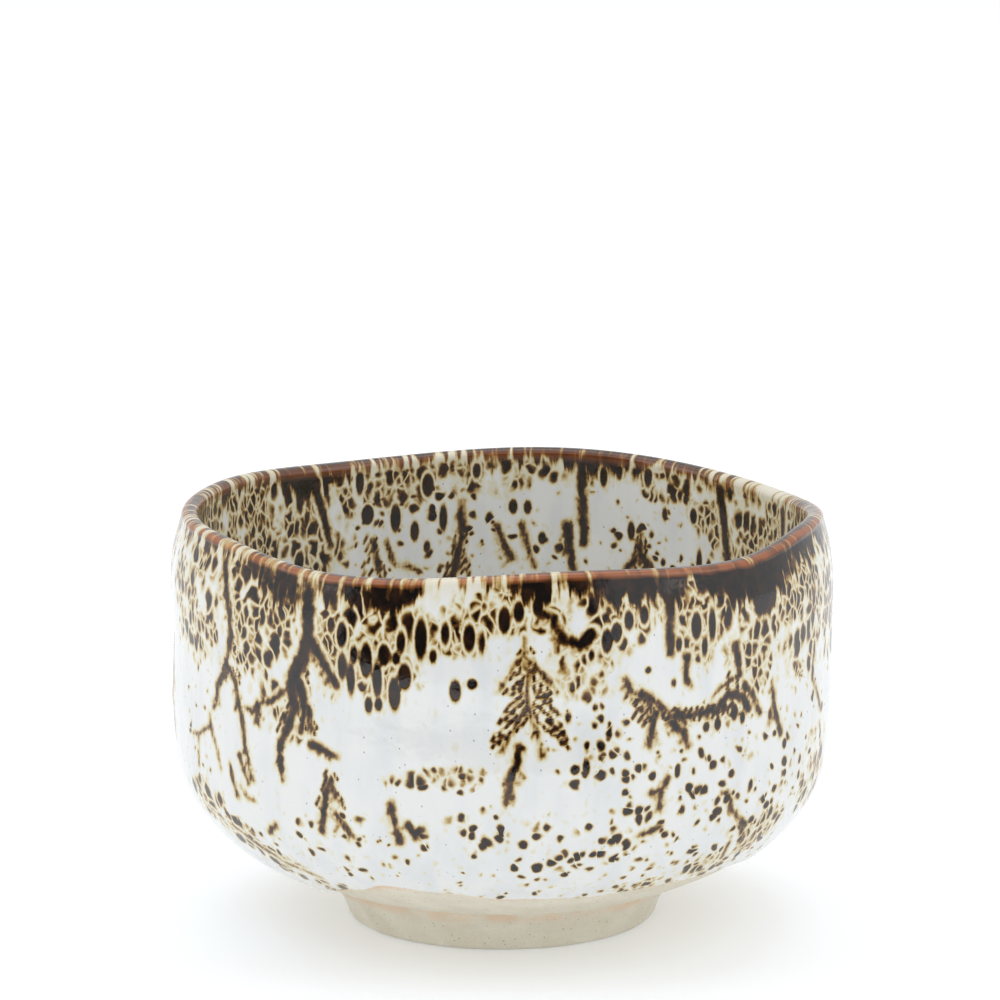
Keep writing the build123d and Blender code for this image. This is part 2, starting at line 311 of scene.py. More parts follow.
# Firs: short dashes that fan out to both sides of a stem. Azimuth and height at its top, then at its
# foot, how wide the fan is there to each side, and how far apart its rows are
FIRS = [
    (273.9, 64, 274.8, 50, 6.6, 1.7), (235, 58, 233, 48, 3.2, 1.6),
    (218, 60, 216.5, 52, 2.6, 1.6), (293, 54, 297, 50, 2.4, 1.2),
    (312, 56, 313, 50, 2.6, 1.2), (240, 40, 239.5, 35, 2.2, 1.2),
    (296, 50.5, 312, 50, 1.8, 1.3), (8, 62, 9, 46, 4.6, 1.6),
    (58, 58, 56, 42, 5.2, 1.7), (103, 64, 101, 49, 4.2, 1.6),
    (146, 60, 149, 44, 5, 1.7), (178, 52, 177, 40, 3.2, 1.5),
]
INSIDE_FIRS = [
    (117, 60, 116, 52, 2.4, 1.4), (61.5, 60, 61.7, 50, 3.4, 1.4),
    (98, 60, 99.5, 50, 2.6, 1.4), (210, 62, 212, 48, 4.4, 1.6),
    (262, 58, 260, 44, 4.8, 1.7), (318, 60, 320, 46, 4.2, 1.6),
]
BACK_CELL_PATCHES = [
    (18, 9, 14, 9, 0.85), (40, 12, 14, 12, 0.95), (62, 8, 14, 8, 0.8), (84, 13, 13, 13, 0.9),
    (75, 30, 7, 5, 0.7), (108, 8, 14, 9, 0.95), (130, 13, 14, 14, 0.85), (152, 8, 14, 9, 0.9),
    (176, 11, 15, 12, 0.85), (24, 34, 8, 6, 0.7), (121, 38, 9, 6, 0.7), (160, 44, 10, 6, 0.75),
    (92, 54, 14, 3, 0.75),
]
INSIDE_CELL_PATCHES = [
    (130, 11, 11, 12, 1.1), (148, 9, 12, 14, 1), (170, 10, 14, 14, 1), (112, 6, 10, 5, 0.9),
    (95, 5, 14, 5, 0.9), (76, 4, 14, 4, 0.9), (55, 5, 12, 4, 0.9), (43, 7, 8, 8, 1),
    (28, 10, 12, 14, 1), (8, 10, 14, 16, 1), (340, 8, 18, 9, 1), (300, 9, 20, 9, 1),
    (260, 10, 20, 10, 1), (220, 9, 20, 10, 1), (195, 9, 12, 12, 1),
]
INSIDE_SPOT_PATCHES = [
    (105, 60, 20, 13, 1), (75, 58, 18, 10, 0.8), (52, 60, 14, 10, 0.85), (20, 48, 20, 20, 0.9),
    (150, 46, 20, 20, 0.9), (90, 38, 40, 14, 0.9), (200, 50, 25, 20, 0.9), (260, 46, 30, 20, 0.9),
    (320, 48, 30, 20, 0.9), (120, 22, 60, 10, 0.85), (300, 22, 80, 10, 0.85),
]
BARB_SPACING = 1.5
BARB_LENGTH = 1.7
BARBED_WIDTH = 0.7
BARB_GAPS = 0.45
DASH_SPACING = 1.35
DASH_GAPS = 0.15
DASH_FALL = 0.8
# How far from a stroke or a cell its distance is measured, and the distance beyond that
MEASURED = 3
FAR = 9.0
# Where the firs away from the front stand, and the strength where no patch lies
BACK_FIRS = (8, 31, 55, 78, 99, 124, 147, 168, 188)
NO_PATCH = -0.6
# A patch whose level is under this one reaches on to level nought
NEAR_NOUGHT = 20
# Where the lip shows cream at the front: azimuth, depth, half width in degrees, half height
CREAM_SPOT = (261, 1.5, 7, 3.5)
# Length of a degree round the bowl
PER_DEGREE = radians(GLAZED_RADIUS)


def barbs(points, half_width):
    """Short side shoots that run down and out from a vein, as a list of straight strokes."""
    strokes = []
    run = np.diff(points, axis=0)
    lengths = np.hypot(run[:, 0], run[:, 1])
    for start, step, length in zip(points, run, lengths):
        for share in np.arange(0.2, 0.95, BARB_SPACING / max(length, BARB_SPACING)):
            for side in (-1, 1):
                if RANDOM.random() < BARB_GAPS:
                    continue
                root = start + step * share
                reach = BARB_LENGTH * RANDOM.uniform(0.4, 1.1)
                tip = root + reach * np.array([side * RANDOM.uniform(0.5, 0.9), -1.0])
                strokes.append((root, tip, half_width * 0.6, 0.12))
    return strokes


def fir_dashes(firs):
    """The short dark dashes that fan out down both sides of each fir's stem."""
    dashes = []
    for azimuth, top, foot_azimuth, foot, fan, spacing in firs:
        start = np.array([azimuth * PER_DEGREE, top])
        step = np.array([foot_azimuth * PER_DEGREE, foot]) - start
        count = int(np.hypot(*step) / spacing) + 1
        for share in (np.arange(count) + 0.5) / count:
            for side in (-1, 1):
                for aside in np.arange(1.0, 1.2 + fan * share, DASH_SPACING):
                    if RANDOM.random() < DASH_GAPS:
                        continue
                    place = start + step * share + np.array([side * aside, -DASH_FALL * aside])
                    place = place + RANDOM.uniform(-0.3, 0.3, 2)
                    reach = RANDOM.uniform(0.4, 0.85)
                    lean = reach * np.array([side * RANDOM.uniform(0.35, 0.7), -1.0])
                    dashes.append((place - lean, place + lean, RANDOM.uniform(0.1, 0.3), 0.3))
    return dashes


def vein_strokes(veins):
    """Every vein and its side shoots, as straight strokes with half widths at both ends."""
    strokes = []
    for points, first, last in veins:
        places = np.array([(azimuth * PER_DEGREE, height) for azimuth, height in points])
        widths = np.linspace(first, last, len(places))
        strokes += list(zip(places, places[1:], widths, widths[1:]))
        if max(first, last) >= BARBED_WIDTH:
            strokes += barbs(places, first)
    return strokes


def back_veins():
    """Fir-shaped veins on the side away from the front, at places drawn by chance."""
    draw = np.random.default_rng(11)
    veins = []
    for azimuth in BACK_FIRS:
        top = draw.uniform(52, 68)
        lean = draw.uniform(-3, 3)
        foot = top - draw.uniform(14, 24)
        middle = (azimuth + lean / 2, (top + foot) / 2)
        width = draw.uniform(0.6, 1.3)
        veins.append(([(azimuth, top), middle, (azimuth + lean, foot)], width, 0.35))
        veins.append(([middle, (azimuth - lean - 2, foot + 4)], width * 0.7, 0.3))
        veins.append(([(azimuth, top - 3), (azimuth + 3.5, top - 9)], width * 0.5, 0.25))
    return veins


def inside_back_veins():
    """Drips down the inside, on the wall that faces away."""
    draw = np.random.default_rng(12)
    veins = []
    for azimuth in range(150, 390, 23):
        top = draw.uniform(60, 73)
        foot = top - draw.uniform(14, 26)
        lean = draw.uniform(-2, 2)
        veins.append(([(azimuth, top), (azimuth + lean / 2, foot + 8), (azimuth + lean, foot)],
                      draw.uniform(0.5, 1.1), draw.uniform(0.3, 0.8)))
    return veins


def the_short_way_round(across):
    """A distance round the bowl, taken the short way: between minus and plus half of its girth."""
    girth = 2 * pi * GLAZED_RADIUS
    return (across + girth / 2) % girth - girth / 2


def gap_to_strokes(across, up, strokes):
    """Distance from each place to the nearest stroke's edge, negative inside it."""
    gap = np.full(across.shape, FAR)
    for start, stop, first, last in strokes:
        middle, step = (start + stop) / 2, stop - start
        reach = abs(step) / 2 + MEASURED
        aside = the_short_way_round(across - middle[0])
        near = (abs(aside) < reach[0]) & (abs(up - middle[1]) < reach[1])
        dx, dy = aside[near] + step[0] / 2, up[near] - start[1]
        share = np.clip((dx * step[0] + dy * step[1]) / (step @ step), 0, 1)
        distance = np.hypot(dx - share * step[0], dy - share * step[1])
        gap[near] = np.minimum(gap[near], distance - first * (1 - share) - last * share)
    return gap


def gap_to_cells(across, up, cells):
    """Distance from each place to the edge of the nearest large cell, negative inside it."""
    gap = np.full(across.shape, FAR)
    for azimuth, height, wide, tall in cells:
        dx, dy = the_short_way_round(across - azimuth * PER_DEGREE), up - height
        near = (abs(dx) < wide + MEASURED) & (abs(dy) < tall + MEASURED)
        size = np.hypot(dx[near] / wide, dy[near] / tall)
        gap[near] = np.minimum(gap[near], (size - 1) * wide)
    return gap


def patches(azimuths, levels, listed):
    """The strongest of a list of soft-edged oval patches at each place.

    A patch that lies near level nought reaches on to it: to the lip by depth, to the foot by height."""
    strongest = np.full(azimuths.shape, NO_PATCH)
    for azimuth, level, wide, tall, strength in listed:
        turn = (azimuths - azimuth + 180) % 360 - 180
        rise = levels - level
        if level < NEAR_NOUGHT:
            rise = np.maximum(rise, 0)
        away = np.hypot(turn / wide, rise / tall)
        fading = smooth_step((away - 0.55) / 0.8)
        strongest = np.maximum(strongest, strength - (strength - NO_PATCH) * fading)
    return strongest


def pattern_fields(rows, wall, outside):
    """What the glaze's material reads at each point: its place over the lip, and how near iron is."""
    azimuths = np.broadcast_to(wall.azimuths, rows.shape[:2])
    height = rows[..., 2]
    depth = wall.lip_top[None, :] - height
    across = azimuths * PER_DEGREE
    veins = OUTSIDE_VEINS + back_veins() if outside else INSIDE_VEINS + inside_back_veins()
    gap = gap_to_strokes(across, height, vein_strokes(veins))
    large = gap_to_cells(across, height, LARGE_CELLS if outside else INSIDE_CELLS)
    dashes = fir_dashes(FIRS if outside else INSIDE_FIRS)
    large = np.minimum(large, gap_to_strokes(across, height, dashes))
    band = round_the_bowl(DARK_BAND if outside else INSIDE_BAND, wall.azimuths)[None, :] - depth
    cells = patches(azimuths, depth, CELL_PATCHES + BACK_CELL_PATCHES if outside else INSIDE_CELL_PATCHES)
    spots = patches(azimuths, height, SPOT_PATCHES if outside else INSIDE_SPOT_PATCHES)
    if outside:
        azimuth, level, wide, tall = CREAM_SPOT
        cream = np.hypot((azimuths - azimuth) / wide, np.maximum(depth - level, 0) / tall)
        cells -= 1.1 * (1 - smooth_step((cream - 0.4) / 0.7))
    return {
        "over_lip": -depth if outside else depth, "vein_gap": gap, "large_gap": large, "band_gap": band,
        "cell_reach": cells, "spot_reach": spots,
        "crest_iron": np.broadcast_to(round_the_bowl(CREST_IRON, wall.azimuths), rows.shape[:2]),
    }


# ---------- meshes
# The rings that close a middle: how far out each lies, and one point is kept of how many
CAP_RINGS = [(0.72, 2), (0.48, 4), (0.28, 8), (0.14, 16)]


def mesh_of_rows(name, rows, material, attributes, closed=True, sharp_rows=()):
    """A mesh whose rows run round the bowl: rows is (row, column, xyz) in millimetres.

    A row of radius nought becomes one point. Where the mesh is closed, the last row joins the first.
    Attributes are (row, column) numbers."""
    count, around = rows.shape[:2]
    is_pole = [bool(np.hypot(rows[i, :, 0], rows[i, :, 1]).max() < 0.001) for i in range(count)]
    picked = [1 if is_pole[i] else around for i in range(count)]
    first_of_row = np.cumsum([0] + picked).tolist()
    points = np.concatenate([rows[i, :picked[i]] for i in range(count)])
    faces, caps = [], []
    step = np.arange(around)
    following = (step + 1) % around
    for i in range(count if closed else count - 1):
        j = (i + 1) % count
        if is_pole[i] and is_pole[j]:
            continue
        if is_pole[i] or is_pole[j]:
            ring, middle = (j, i) if is_pole[i] else (i, j)
            new = len(points) + sum(len(added) for _, added in caps)
            cap, added = thinning_cap(rows[ring], rows[middle, 0], first_of_row[ring],
                                      first_of_row[middle], new)
            faces += [face[::-1] for face in cap] if is_pole[i] else cap
            caps.append((ring, added))
            continue
        faces += np.stack([first_of_row[i] + step, first_of_row[i] + following,
                           first_of_row[j] + following, first_of_row[j] + step], 1).tolist()
    points = np.concatenate([points] + [added for _, added in caps]) * MM
    mesh = bpy.data.meshes.new(name)
    mesh.from_pydata(points.tolist(), [], faces)
    mesh.shade_smooth()
    for attribute, values in attributes.items():
        flat = [values[i, :picked[i]] for i in range(count)]
        flat += [values[ring, ::keep] for ring, _ in caps for _, keep in CAP_RINGS]
        flat = np.concatenate(flat).astype(np.float32)
        mesh.attributes.new(attribute, "FLOAT", "POINT").data.foreach_set("value", flat)
    if sharp_rows:
        mark_sharp(mesh, [(first_of_row[i], first_of_row[i] + around) for i in sharp_rows])
    mesh.materials.append(material)
    piece = bpy.data.objects.new(name, mesh)
    bpy.context.scene.collection.objects.link(piece)
    return piece


def thinning_cap(ring, middle, first, middle_point, new):
    """Faces and new points that close a ring round a middle point, in smaller rings of ever fewer points."""
    outer = first + np.arange(len(ring))
    faces, added = [], []
    for share, keep in CAP_RINGS:
        inner = new + sum(len(block) for block in added) + np.arange(len(ring) // keep)
        added.append(middle + share * (ring[::keep] - middle))
        even, odd, after = outer[::2], outer[1::2], np.roll(outer[::2], -1)
        beyond = np.roll(inner, -1)
        for corners in ([even, odd, inner], [odd, beyond, inner], [odd, after, beyond]):
            faces += np.stack(corners, 1).tolist()
        outer = inner
    faces += [[int(a), int(b), middle_point] for a, b in zip(outer, np.roll(outer, -1))]
    return faces, np.concatenate(added)


def mark_sharp(mesh, spans):
    """Marks the edges that lie along whole rows as sharp, so that each side keeps its own shading."""
    ends = np.zeros(len(mesh.edges) * 2, int)
    mesh.edges.foreach_get("vertices", ends)
    ends = ends.reshape(-1, 2)
    sharp = np.zeros(len(ends), bool)
    for low, high in spans:
        sharp |= ((ends >= low) & (ends < high)).all(1)
    mesh.attributes.new("sharp_edge", "BOOLEAN", "EDGE").data.foreach_set("value", sharp)


class Wall:
    """The skin of the bowl with a coat of a given depth, as points round it at any place on its section."""

    # Levels that tell the upright wall from the underside, and where the potter's ripple starts and stops
    UPRIGHT_ABOVE = 40
    UNDERSIDE_BELOW = 30
    RIPPLE_FROM = 18
    RIPPLE_GROWS = 20
    RIPPLE_FADES = 12
    RIPPLE_RADIUS = 30
    # How square the lip's rounding is: 1 is an ellipse
    SQUARENESS = 0.87

    def __init__(self, coat, around=AROUND):
        self.azimuths = (np.arange(around) + COLUMN_OFFSET) * 360 / around
        self.lip_top = LIP_LEVEL + round_the_bowl(LIP_WAVES, self.azimuths)
        self.lip_top -= (GLAZE - coat) * THINNED_SHARE
        self.rounding = LIP_ROUNDING - (GLAZE - coat) * THINNED_SHARE
        self.arc_base = self.lip_top - self.rounding
        self.lines = {"outside": section_curve(OUTSIDE, OUTSIDE_ENDS, coat),
                      "inside": section_curve(INSIDE, INSIDE_ENDS, coat)}

    def along(self, side):
        """Distance along a side's section at each of its points."""
        return lengths_along(np.stack(self.lines[side], 1))

    def place_at_height(self, side, heights):
        """Distance along a side's section where it reaches each height, on the upright wall."""
        height = self.lines[side][1]
        rising = height if side == "outside" else height[::-1]
        distance = self.along(side) if side == "outside" else self.along(side)[::-1]
        upper = rising > self.UPRIGHT_ABOVE
        return np.interp(heights, rising[upper], distance[upper])

    def place_at_radius(self, radii):
        """Distance along the outside's section where the underside reaches each radius."""
        radius, height = self.lines["outside"]
        lower = height < self.UNDERSIDE_BELOW
        return np.interp(radii, radius[lower], self.along("outside")[lower])

    def points(self, side, distances):
        """Points for a (row, column) table of distances along a side's section."""
        radius, height = [np.interp(distances, self.along(side), line) for line in self.lines[side]]
        return self.turned(radius, height)

    def turned(self, radius, height):
        """Points round the bowl for radii and heights by (row, column), with the wall's ripple."""
        growing = smooth_step((height - self.RIPPLE_FROM) / self.RIPPLE_GROWS)
        fading = smooth_step((self.lip_top[None, :] - height) / self.RIPPLE_FADES)
        swell = ripple(self.azimuths[None, :], height) * growing * fading
        reach = np.where(radius > self.RIPPLE_RADIUS, radius + swell, radius)
        return rows_round(reach, height, np.radians(self.azimuths)[None, :])

    def lip_arc(self, count):
        """Rows over the rounded lip, from the outside to the inside."""
        outer, inner = [np.interp(self.place_at_height(side, self.arc_base), self.along(side),
                                  self.lines[side][0]) for side in ("outside", "inside")]
        middle, half = (outer + inner) / 2, (outer - inner) / 2
        angles = np.linspace(0, pi, count)[:, None]
        across = np.sign(np.cos(angles)) * np.abs(np.cos(angles)) ** self.SQUARENESS
        rise = np.sin(angles) ** self.SQUARENESS
        return self.turned(middle + half * across, self.arc_base + self.rounding * rise)


# ---------- materials
class Tree:
    """Short ways to add and join the nodes of a material or a world."""

    def __init__(self, owner):
        owner.use_nodes = True
        self.owner = owner
        self.nodes = owner.node_tree.nodes
        self.links = owner.node_tree.links

    def put(self, socket, value):
        if isinstance(value, bpy.types.NodeSocket):
            self.links.new(value, socket)
        elif value is not None:
            socket.default_value = value

    def node(self, kind, inputs=None, output=0, **settings):
        node = self.nodes.new("ShaderNode" + kind)
        for name, value in settings.items():
            setattr(node, name, value)
        for name, value in (inputs or {}).items():
            self.put(node.inputs[name], value)
        return node.outputs[output]

    def shade(self, inputs):
        """Sets inputs of the material's main shader."""
        shader = self.nodes["Principled BSDF"]
        for name, value in inputs.items():
            self.put(shader.inputs[name], value)
        return shader.outputs["BSDF"]

    def math(self, operation, first, second=None, third=None):
        return self.node("Math", {0: first, 1: second, 2: third}, operation=operation)

    def add(self, first, second):
        return self.math("ADD", first, second)

    def times(self, first, second):
        return self.math("MULTIPLY", first, second)

    def scaled(self, value, factor, offset):
        return self.math("MULTIPLY_ADD", value, factor, offset)

    def vector(self, operation, first, second=None):
        return self.node("VectorMath", {0: first, 1: second}, operation=operation)

    def scale(self, place, factor):
        return self.node("VectorMath", {0: place, "Scale": factor}, operation="SCALE")

    def squeezed(self, place, size):
        """A place measured in cells of a given (x, y, z) size."""
        return self.vector("MULTIPLY", place, [1 / side for side in size])

    def attribute(self, name):
        return self.node("Attribute", output="Fac", attribute_name=name)

    def millimetres(self):
        return self.scale(self.node("TexCoord", output="Object"), 1 / MM)

    def noise(self, place, size, detail=2.0, output="Fac"):
        return self.node("TexNoise", {"Vector": place, "Scale": 1 / size, "Detail": detail}, output)

    def cells(self, place, feature="F1", output="Distance", randomness=1.0):
        return self.node("TexVoronoi", {"Vector": place, "Scale": 1.0, "Randomness": randomness},
                         output, feature=feature)

    def luck(self, place, randomness=1.0):
        """A number between 0 and 1 for each cell."""
        return self.node("SeparateColor", {"Color": self.cells(place, "F1", "Color", randomness)})

    def range(self, value, low, high, to_low=0.0, to_high=1.0):
        return self.node("MapRange", {"Value": value, "From Min": low, "From Max": high,
                                      "To Min": to_low, "To Max": to_high})

    def mix(self, share, first, second):
        node = self.nodes.new("ShaderNodeMix")
        node.data_type = "RGBA"
        for name, value in (("Factor", share), ("A", first), ("B", second)):
            self.put(node.inputs[name], value)
        return node.outputs["Result"]

    def part(self, vector, axis):
        return self.node("SeparateXYZ", {"Vector": vector}, axis)

    def bump(self, height, distance, strength=1.0, under=None):
        return self.node("Bump", {"Height": height, "Distance": distance * MM, "Strength": strength,
                                  "Normal": under})


def rgb(red, green, blue):
    return (red, green, blue, 1.0)


WHITE = rgb(0.785, 0.79, 0.775)
COOL_WHITE = rgb(0.715, 0.73, 0.735)
BLUE_SPECK = rgb(0.16, 0.18, 0.23)
CREAM = rgb(0.74, 0.64, 0.44)
PALE_HALO = rgb(0.72, 0.68, 0.50)
TAN = rgb(0.50, 0.34, 0.12)
BROWN = rgb(0.13, 0.055, 0.012)
DEEP_BROWN = rgb(0.032, 0.013, 0.006)
BLACK = rgb(0.008, 0.006, 0.005)
RUST = rgb(0.33, 0.10, 0.03)
ORANGE = rgb(0.52, 0.22, 0.07)
BUFF = rgb(0.72, 0.67, 0.545)
LIGHT_BUFF = rgb(0.80, 0.76, 0.64)
BUFF_GRAIN = rgb(0.62, 0.555, 0.44)
IRON_SPECK = rgb(0.26, 0.19, 0.12)
PALE_SPECK = rgb(0.84, 0.81, 0.72)
PEACH = rgb(0.80, 0.50, 0.30)

GLAZE_IOR = 1.6
# Sizes of the pattern: cells are (across, upwards), spots and specks are (x, y, z)
LARGE_CELL = (2.4, 4.6)
SMALL_CELL = (1.5, 2.9)
SPOT = (2.2, 2.2, 2.5)
SPECK = (1.7, 1.7, 2.4)
# Distance inside (+) or outside (-) the iron's edge where the halo starts and where all is dark
IRON_LOW = -1.0
IRON_HIGH = 0.5
# What each colour gives way to further into the iron: from which distance, to which distance
TO_HALO = (-0.8, -0.35)
TO_TAN = (-0.38, -0.12)
TO_BROWN = (-0.15, 0.05)
TO_DARK = (0.0, 0.28)


def iron_share(distance):
    """Where a distance inside (+) or outside (-) the iron's edge falls between its low and high ends."""
    return (distance - IRON_LOW) / (IRON_HIGH - IRON_LOW)


def cell_layer(tree, warped, size, reach, wall, randomness):
    """Dark cells in a net: rounded, with a pale wall between neighbours."""
    wide, tall = size
    at = tree.squeezed(warped, (wide, wide, tall))
    own_reach = tree.scaled(tree.luck(at, randomness), 0.25 * wide, reach)
    inside = tree.scaled(tree.cells(at, randomness=randomness), -wide, own_reach)
    edge = tree.scaled(tree.cells(at, "DISTANCE_TO_EDGE", randomness=randomness), 1.9 * wide, -wall)
    return tree.math("SMOOTH_MIN", inside, edge, 0.25)


def cell_net(tree, place, warped):
    """A net of large cells in some places and small ones in others."""
    reach = tree.attribute("cell_reach")
    large = cell_layer(tree, warped, LARGE_CELL, tree.scaled(reach, 1.05, -0.10), 0.44, 0.8)
    small = cell_layer(tree, warped, SMALL_CELL, tree.scaled(reach, 0.80, -0.13), 0.38, 0.85)
    which = tree.range(tree.noise(place, 9.0, 1.0), 0.47, 0.55)
    return tree.scaled(tree.math("SUBTRACT", small, large), which, large)


def loose_spots(tree, warped):
    """Single round spots of uneven size."""
    at = tree.squeezed(warped, SPOT)
    reach = tree.times(tree.attribute("spot_reach"), 0.8)
    reach = tree.add(tree.range(tree.luck(at), 0.2, 1.0, -0.25, 0.32), reach)
    spots = tree.scaled(tree.cells(at), -SPOT[0], tree.add(reach, -0.19))
    return tree.times(spots, 1.45)


def feathered_veins(tree, warped):
    """Veins, dashes and large cells with feathery edges, and how clear of them the net has to stay."""
    vein_gap = tree.attribute("vein_gap")
    large_gap = tree.attribute("large_gap")
    feather = tree.add(tree.noise(tree.vector("MULTIPLY", warped, (1, 1, 0.5)), 1.3, 1.0), -0.60)
    veins = tree.scaled(vein_gap, -0.7, feather)
    veins = tree.math("SMOOTH_MAX", veins, tree.times(large_gap, -1.7), 0.15)
    clear = tree.math("MINIMUM", tree.add(vein_gap, -0.9), tree.scaled(large_gap, 1.5, -0.85))
    return veins, clear


def lip_streaks(tree, place, over_lip):
    """Noise drawn out down the wall in three widths: fine, slow and broad."""
    turn = tree.vector("NORMALIZE", tree.vector("MULTIPLY", place, (1, 1, 0)))
    upwards = tree.node("CombineXYZ", {"Z": tree.times(over_lip, 0.20)})
    at = tree.vector("ADD", tree.scale(turn, GLAZED_RADIUS), upwards)
    fine = tree.range(tree.noise(at, 1.35), 0.30, 0.70, -1.0, 1.0)
    slow = tree.range(tree.noise(at, 3.2, 1.0), 0.35, 0.65, -0.8, 0.8)
    return fine, slow, tree.noise(at, 6.0)


def lip_band(tree, depth, fine, slow):
    """The dark band below the lip, streaked with cream, and broken on the crest."""
    streaks = tree.scaled(fine, 0.75, tree.times(slow, 0.45))
    bias = tree.scaled(tree.range(depth, 1.0, 2.6), 0.30, tree.times(tree.attribute("crest_iron"), 0.9))
    crest = tree.scaled(streaks, 0.8, bias)
    band = tree.scaled(tree.attribute("band_gap"), 0.30, streaks)
    return tree.math("SMOOTH_MIN", band, crest, 0.15)


def white_coat(tree, place, depth):
    """The white, cool in long clouds, with fine blue specks, and creamy at the lip."""
    cool = tree.range(tree.noise(tree.vector("MULTIPLY", place, (1, 1, 0.3)), 5.0, 3.0), 0.42, 0.68)
    white = tree.mix(cool, WHITE, COOL_WHITE)
    speck = tree.range(tree.cells(tree.squeezed(place, SPECK)), 0.10, 0.05)
    white = tree.mix(tree.times(speck, 0.75), white, BLUE_SPECK)
    return tree.mix(tree.times(tree.range(depth, 4.0, 0.8), 0.55), white, CREAM)


def rusty_edges(tree, over_lip, slow, broad):
    """How rusty the iron is: most along the lip's outer edge, and half as much along its inner one."""
    outer_edge = tree.add(over_lip, tree.add(broad, 0.35))
    rust = tree.range(tree.math("ABSOLUTE", outer_edge), 0.85, 0.25)
    inner_edge = tree.math("SUBTRACT", over_lip, 1.4)
    rust = tree.math("MAXIMUM", rust, tree.range(tree.math("ABSOLUTE", inner_edge), 1.1, 0.2, 0.0, 0.5))
    return tree.times(rust, tree.range(slow, -0.9, 0.3, 0.5, 1.0))


def glaze_material():
    """White glaze over iron: the iron shows as cells, spots, veins and a streaked band at the lip."""
    tree = Tree(bpy.data.materials.new("white_over_iron_glaze"))
    place = tree.millimetres()
    over_lip = tree.attribute("over_lip")
    depth = tree.math("ABSOLUTE", over_lip)
    wander = tree.vector("SUBTRACT", tree.noise(place, 3.0, 1.0, "Color"), (0.5, 0.5, 0.5))
    warped = tree.vector("ADD", place, tree.scale(wander, 2.2))
    fine, slow, broad = lip_streaks(tree, place, over_lip)

    veins, clear = feathered_veins(tree, warped)
    net = tree.math("SMOOTH_MIN", cell_net(tree, place, warped), clear, 0.2)
    iron = tree.math("SMOOTH_MAX", net, veins, 0.3)
    iron = tree.math("SMOOTH_MAX", iron, loose_spots(tree, warped), 0.2)
    iron = tree.scaled(tree.add(iron, 1.0), tree.range(depth, 0.9, 2.6), -1.0)
    iron = tree.math("SMOOTH_MAX", iron, lip_band(tree, depth, fine, slow), 0.3)
    iron = tree.add(iron, tree.scaled(tree.noise(place, 0.7), 0.3, -0.15))
    share = tree.range(iron, IRON_LOW, IRON_HIGH)

    rust = rusty_edges(tree, over_lip, slow, broad)
    thick = tree.mix(tree.range(tree.noise(place, 2.2), 0.45, 0.7), BLACK, DEEP_BROWN)
    colour = white_coat(tree, place, depth)
    brown, dark = tree.mix(rust, BROWN, ORANGE), tree.mix(rust, thick, RUST)
    for (low, high), further in ((TO_HALO, PALE_HALO), (TO_TAN, TAN), (TO_BROWN, brown), (TO_DARK, dark)):
        colour = tree.mix(tree.range(share, iron_share(low), iron_share(high)), colour, further)

    relief = tree.bump(tree.range(share, 0.3, 0.8, 1.0, 0.0), 0.05)
    relief = tree.bump(tree.noise(place, 3.5), 0.10, under=relief)
    relief = tree.bump(tree.noise(place, 0.5), 0.012, under=relief)
    roughness = tree.range(tree.noise(place, 1.0, 3.0), 0.3, 0.7, 0.06, 0.14)
    tree.shade({"Base Color": colour, "Roughness": roughness, "Normal": relief, "IOR": GLAZE_IOR})
    return tree.owner


def clay_material():
    """Bare buff stoneware: fine grain, dark iron specks, turning lines, and a peach flush by the glaze."""
    tree = Tree(bpy.data.materials.new("bare_stoneware"))
    place = tree.millimetres()
    grain = tree.noise(place, 0.35, 3.0)
    base = tree.mix(tree.range(tree.noise(place, 6.0, 4.0), 0.35, 0.65), BUFF, LIGHT_BUFF)
    base = tree.mix(tree.range(grain, 0.3, 0.7, 0.0, 0.35), base, BUFF_GRAIN)
    specks = tree.range(tree.cells(tree.scale(place, 1 / 1.3)), 0.16, 0.08, 0.0, 0.6)
    base = tree.mix(specks, base, IRON_SPECK)
    pale = tree.range(tree.cells(tree.scale(place, 1 / 0.9)), 0.14, 0.06, 0.0, 0.7)
    base = tree.mix(pale, base, PALE_SPECK)
    flush = tree.times(tree.attribute("flush"), tree.range(tree.noise(place, 5.0, 3.0), 0.33, 0.55))
    base = tree.mix(flush, base, PEACH)
    rings = tree.node("TexWave", {"Vector": place, "Scale": 0.42, "Distortion": 1.2, "Detail": 2.0},
                      "Fac", wave_type="RINGS", rings_direction="Z")
    relief = tree.bump(rings, 0.05, 0.5)
    relief = tree.bump(grain, 0.07, under=relief)
    relief = tree.bump(tree.noise(place, 1.4, 4.0), 0.10, under=relief)
    tree.shade({"Base Color": base, "Roughness": tree.range(grain, 0.3, 0.7, 0.72, 0.9), "Normal": relief})
    return tree.owner


def iron_material():
    """The iron coat under the white one: near-black brown."""
    tree = Tree(bpy.data.materials.new("iron_glaze"))
    place = tree.millimetres()
    tint = tree.mix(tree.range(tree.noise(place, 2.0, 3.0), 0.35, 0.65), BROWN, BLACK)
    roughness = tree.range(tree.noise(place, 0.8), 0.3, 0.7, 0.1, 0.25)
    relief = tree.bump(tree.noise(place, 0.6), 0.02)
    tree.shade({"Base Color": tint, "Roughness": roughness, "Normal": relief})
    return tree.owner


# ---------- pieces
def outside_glaze(front, back, band, material):
    """The white coat outside, from the glaze line up to the lip's band, with a back of its own."""
    line = round_the_bowl(GLAZE_LINE, front.azimuths)
    face = front.points("outside", spread(front.place_at_radius(line),
                                          front.place_at_height("outside", band), OUTSIDE_ROWS))
    behind = back.points("outside", spread(back.place_at_height("outside", band),
                                           back.place_at_radius(line), BACK_ROWS))
    rows = np.concatenate([face, behind])
    return mesh_of_rows("white_glaze_outside", rows, material, pattern_fields(rows, front, True),
                        sharp_rows=(0, OUTSIDE_ROWS - 1, OUTSIDE_ROWS, len(rows) - 1))


